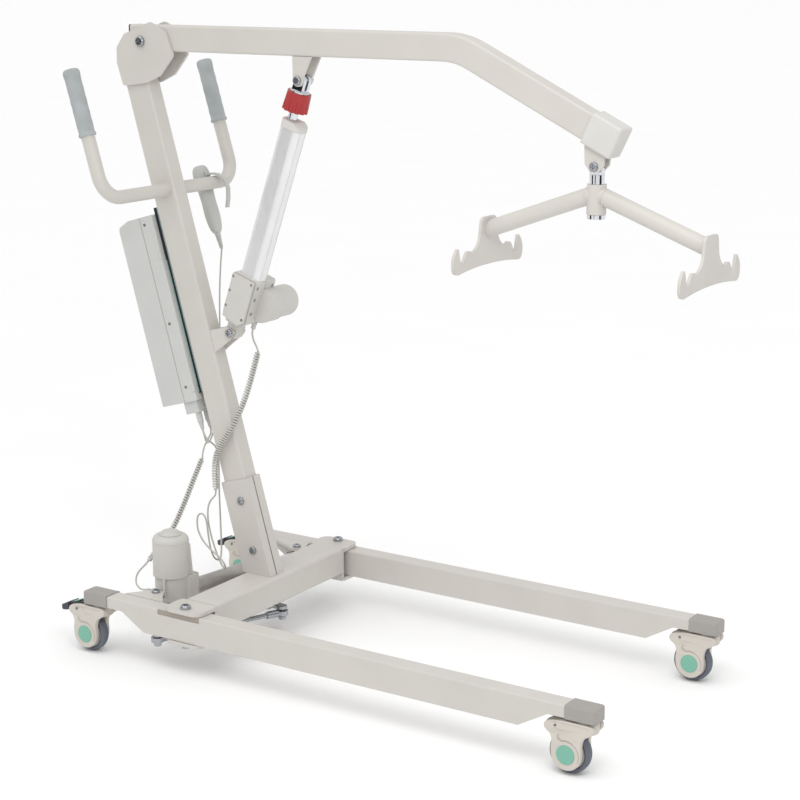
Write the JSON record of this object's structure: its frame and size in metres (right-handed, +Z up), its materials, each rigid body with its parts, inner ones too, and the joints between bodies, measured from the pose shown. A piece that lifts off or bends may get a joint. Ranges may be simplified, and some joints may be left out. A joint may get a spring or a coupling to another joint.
{
  "type": "patient lift hoist",
  "caption": "Mobile floor hoist with spreading legs, leaning mast, cranked boom on an electric actuator, two-arm sling bar, handset and swivel casters.",
  "frame": {"origin": "centre of the overall box on the floor, between the legs", "axes": "+X forward along the legs and boom, +Y to the far leg, +Z up"},
  "size_m": [1.3487, 0.576, 1.2852],
  "materials": {
    "frame_paint": "warm light grey powder coat, satin",
    "zinc_steel": "zinc plated",
    "chrome_steel": "polished",
    "cap_plastic": "moulded grey, matt",
    "black_plastic": "matt",
    "grip_rubber": "blue-grey ribbed rubber",
    "caster_plastic": "ivory moulding with mint green discs",
    "tyre_rubber": "blue-grey tread on an ivory hub",
    "rail_metal": "dark extrusion",
    "box_plastic": "light grey moulding, fine texture",
    "red_plastic": "deep red",
    "drive_plastic": "light grey moulding",
    "bare_aluminium": "satin anodised",
    "hook_plastic": "light grey moulding",
    "button_rubber": "mint green keys",
    "lead_sheath": "light grey cable sheath"
  },
  "bodies": {
    "base": {"crossbeam": "frame_paint", "mast_socket": "frame_paint", "socket_bolts": "zinc_steel", "mast": "frame_paint", "mast_yoke": "frame_paint", "handle_bar": "frame_paint", "handle_grips": "grip_rubber", "actuator_bracket": "frame_paint", "frame_pins": "zinc_steel", "mounting_rail": "rail_metal", "control_box_base": "box_plastic", "control_box_cover": "box_plastic", "lead_sockets": "box_plastic", "leg_pivot_bolts": "zinc_steel", "handset": "box_plastic", "handset_hook": "hook_plastic", "lift_lead": "lead_sheath", "lift_lead_coil": "lead_sheath", "spreader_lead": "lead_sheath", "spreader_lead_coil": "lead_sheath", "handset_lead": "lead_sheath"},
    "leg_near_frame": {"leg_near": "frame_paint", "leg_caps_near": "cap_plastic", "leg_pins_near": "zinc_steel"},
    "leg_far_frame": {"leg_far": "frame_paint", "leg_caps_far": "cap_plastic", "leg_pins_far": "zinc_steel"},
    "swivel_rear_near": {"caster_fork_rear_near": "caster_plastic"},
    "wheel_rear_near": {"caster_wheel_rear_near": "tyre_rubber"},
    "swivel_rear_far": {"caster_fork_rear_far": "caster_plastic"},
    "wheel_rear_far": {"caster_wheel_rear_far": "tyre_rubber"},
    "swivel_front_near": {"caster_fork_front_near": "caster_plastic"},
    "wheel_front_near": {"caster_wheel_front_near": "tyre_rubber"},
    "swivel_front_far": {"caster_fork_front_far": "caster_plastic"},
    "wheel_front_far": {"caster_wheel_front_far": "tyre_rubber"},
    "pedal_rear_near": {"brake_pedal_rear_near": "black_plastic"},
    "pedal_rear_far": {"brake_pedal_rear_far": "black_plastic"},
    "crank": {"equaliser_crank": "zinc_steel"},
    "tie_near": {"tie_rod_near": "zinc_steel"},
    "tie_far": {"tie_rod_far": "zinc_steel"},
    "spreader_body": {"spreader_drive": "drive_plastic", "spreader_tube": "bare_aluminium"},
    "spreader_piston": {"spreader_rod": "chrome_steel"},
    "boom_frame": {"boom": "frame_paint", "boom_plug": "black_plastic", "boom_end_cap": "cap_plastic", "boom_lugs": "frame_paint", "boom_bolts": "zinc_steel"},
    "lift_body": {"lift_gearbox": "drive_plastic", "lift_motor": "drive_plastic", "lift_tube": "bare_aluminium", "lift_tube_cap": "cap_plastic"},
    "lift_piston": {"lift_rod": "chrome_steel"},
    "collar": {"release_nut": "red_plastic"},
    "clevis": {"swivel_pin": "chrome_steel"},
    "sling_bar": {"hanger_bar": "frame_paint", "hook_plates": "frame_paint"},
    "stop_key": {"emergency_button": "red_plastic"},
    "up_key": {"handset_button_up": "button_rubber"},
    "down_key": {"handset_button_down": "button_rubber"}
  },
  "joints": [
    {"name": "leg_near_swing", "type": "hinge", "parent": "base", "child": "leg_near_frame", "pos_m": [-0.3137, -0.27, 0.1], "axis": [0, 0, 1], "range_deg": [-8.5, 0]},
    {"name": "leg_far_swing", "type": "hinge", "parent": "base", "child": "leg_far_frame", "pos_m": [-0.3137, 0.27, 0.1], "axis": [0, 0, 1], "range_deg": [0, 8.5]},
    {"name": "crank_turn", "type": "hinge", "parent": "base", "child": "crank", "pos_m": [-0.3107, 0, 0.072], "axis": [0, 0, 1], "range_deg": [-1, 19.5]},
    {"name": "tie_near_turn", "type": "hinge", "parent": "leg_near_frame", "child": "tie_near", "pos_m": [-0.3907, -0.268, 0.06], "axis": [0, 0, 1], "range_deg": [-1, 10]},
    {"name": "tie_far_turn", "type": "hinge", "parent": "leg_far_frame", "child": "tie_far", "pos_m": [-0.3907, 0.268, 0.06], "axis": [0, 0, 1], "range_deg": [-9, 1]},
    {"name": "spreader_swing", "type": "hinge", "parent": "leg_near_frame", "child": "spreader_body", "pos_m": [-0.4447, -0.206, 0.113], "axis": [0, 0, 1], "range_deg": [-1, 9]},
    {"name": "spreader_stroke", "type": "slide", "parent": "spreader_body", "child": "spreader_piston", "axis": [0.1539, 0.9881, 0], "range_m": [-0.0285, 0]},
    {"name": "swivel_rear_near_turn", "type": "hinge", "parent": "leg_near_frame", "child": "swivel_rear_near", "pos_m": [-0.5437, -0.264, 0.09], "axis": [0, 0, 1], "continuous": true},
    {"name": "wheel_rear_near_roll", "type": "hinge", "parent": "swivel_rear_near", "child": "wheel_rear_near", "pos_m": [-0.5727, -0.264, 0.04], "axis": [0, 1, 0], "continuous": true},
    {"name": "swivel_rear_far_turn", "type": "hinge", "parent": "leg_far_frame", "child": "swivel_rear_far", "pos_m": [-0.5437, 0.264, 0.09], "axis": [0, 0, 1], "continuous": true},
    {"name": "wheel_rear_far_roll", "type": "hinge", "parent": "swivel_rear_far", "child": "wheel_rear_far", "pos_m": [-0.5727, 0.264, 0.04], "axis": [0, 1, 0], "continuous": true},
    {"name": "swivel_front_near_turn", "type": "hinge", "parent": "leg_near_frame", "child": "swivel_front_near", "pos_m": [0.5863, -0.264, 0.09], "axis": [0, 0, 1], "continuous": true},
    {"name": "wheel_front_near_roll", "type": "hinge", "parent": "swivel_front_near", "child": "wheel_front_near", "pos_m": [0.5573, -0.264, 0.04], "axis": [0, 1, 0], "continuous": true},
    {"name": "swivel_front_far_turn", "type": "hinge", "parent": "leg_far_frame", "child": "swivel_front_far", "pos_m": [0.5863, 0.264, 0.09], "axis": [0, 0, 1], "continuous": true},
    {"name": "wheel_front_far_roll", "type": "hinge", "parent": "swivel_front_far", "child": "wheel_front_far", "pos_m": [0.5573, 0.264, 0.04], "axis": [0, 1, 0], "continuous": true},
    {"name": "pedal_rear_near_press", "type": "hinge", "parent": "swivel_rear_near", "child": "pedal_rear_near", "pos_m": [-0.5837, -0.264, 0.0995], "axis": [0, -1, 0], "range_deg": [0, 8]},
    {"name": "pedal_rear_far_press", "type": "hinge", "parent": "swivel_rear_far", "child": "pedal_rear_far", "pos_m": [-0.5837, 0.264, 0.0995], "axis": [0, -1, 0], "range_deg": [0, 8]},
    {"name": "boom_lift", "type": "hinge", "parent": "base", "child": "boom_frame", "pos_m": [-0.5947, 0, 1.246], "axis": [0, -1, 0], "range_deg": [0, 45]},
    {"name": "lift_swing", "type": "hinge", "parent": "base", "child": "lift_body", "pos_m": [-0.3847, 0, 0.655], "axis": [0, -1, 0], "range_deg": [-0.5, 11.5]},
    {"name": "lift_stroke", "type": "slide", "parent": "lift_body", "child": "lift_piston", "axis": [0.3259, 0, 0.9454], "range_m": [0, 0.275]},
    {"name": "release_collar_turn", "type": "hinge", "parent": "lift_piston", "child": "collar", "pos_m": [-0.2037, 0, 1.18], "axis": [0.3259, 0, 0.9454], "range_deg": [0, 60]},
    {"name": "clevis_swing", "type": "hinge", "parent": "boom_frame", "child": "clevis", "pos_m": [0.4473, 0, 1.05], "axis": [0, 1, 0], "range_deg": [-50, 50]},
    {"name": "sling_bar_turn", "type": "hinge", "parent": "clevis", "child": "sling_bar", "pos_m": [0.4473, 0, 0.99], "axis": [0, 0, 1], "continuous": true},
    {"name": "stop_press", "type": "slide", "parent": "base", "child": "stop_key", "axis": [0.9608, 0, 0.2773], "range_m": [0, 0.004], "stiffness_N_per_m": 400},
    {"name": "up_press", "type": "slide", "parent": "base", "child": "up_key", "axis": [0.9494, 0, 0.314], "range_m": [0, 0.0015], "stiffness_N_per_m": 300},
    {"name": "down_press", "type": "slide", "parent": "base", "child": "down_key", "axis": [0.9494, 0, 0.314], "range_m": [0, 0.0015], "stiffness_N_per_m": 300}
  ],
  "couplings": [
    {"joint": "leg_far_swing", "follows": "leg_near_swing", "ratio": -1},
    {"joint": "crank_turn", "follows": "leg_near_swing", "ratio": -2.17},
    {"joint": "tie_near_turn", "follows": "leg_near_swing", "ratio": -1.07},
    {"joint": "tie_far_turn", "follows": "leg_near_swing", "ratio": 0.985},
    {"joint": "spreader_swing", "follows": "leg_near_swing", "ratio": -0.935},
    {"joint": "spreader_stroke", "follows": "leg_near_swing", "m_per_rad": 0.186},
    {"joint": "lift_swing", "follows": "boom_lift", "ratio": 0.2483},
    {"joint": "lift_stroke", "follows": "boom_lift", "m_per_rad": 0.348}
  ]
}
